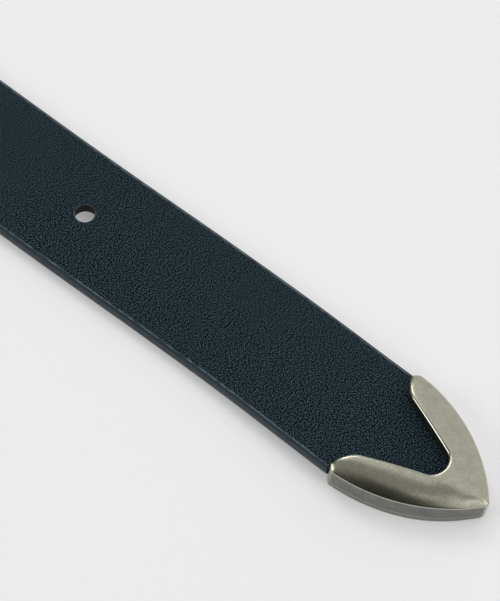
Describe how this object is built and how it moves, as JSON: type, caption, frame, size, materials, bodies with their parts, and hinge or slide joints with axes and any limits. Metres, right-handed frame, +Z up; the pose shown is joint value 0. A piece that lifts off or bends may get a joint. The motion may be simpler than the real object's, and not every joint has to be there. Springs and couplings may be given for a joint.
{
  "type": "western belt",
  "caption": "Flat leather belt laid out straight, bevelled strap with punched holes, cast metal tip with a V opening, plain buckle and keeper loop.",
  "frame": {"origin": "middle of the belt's length and width, on the surface that it lies on", "axes": "+X along the belt from the buckle to the metal tip, +Z up through the grain side"},
  "size_m": [1.104, 0.056, 0.0165],
  "materials": {
    "strap_leather": "blue-black fine pebbled grain, satin, painted edges",
    "tip_metal": "cast, worn antique silver, satin with a polished inner edge",
    "keeper_leather": "blue-black fine pebbled grain, satin, painted edges",
    "buckle_metal": "cast, worn antique silver, satin"
  },
  "bodies": {
    "root": {"strap": "strap_leather", "belt_tip": "tip_metal", "keeper": "keeper_leather", "buckle": "buckle_metal"}
  },
  "joints": []
}
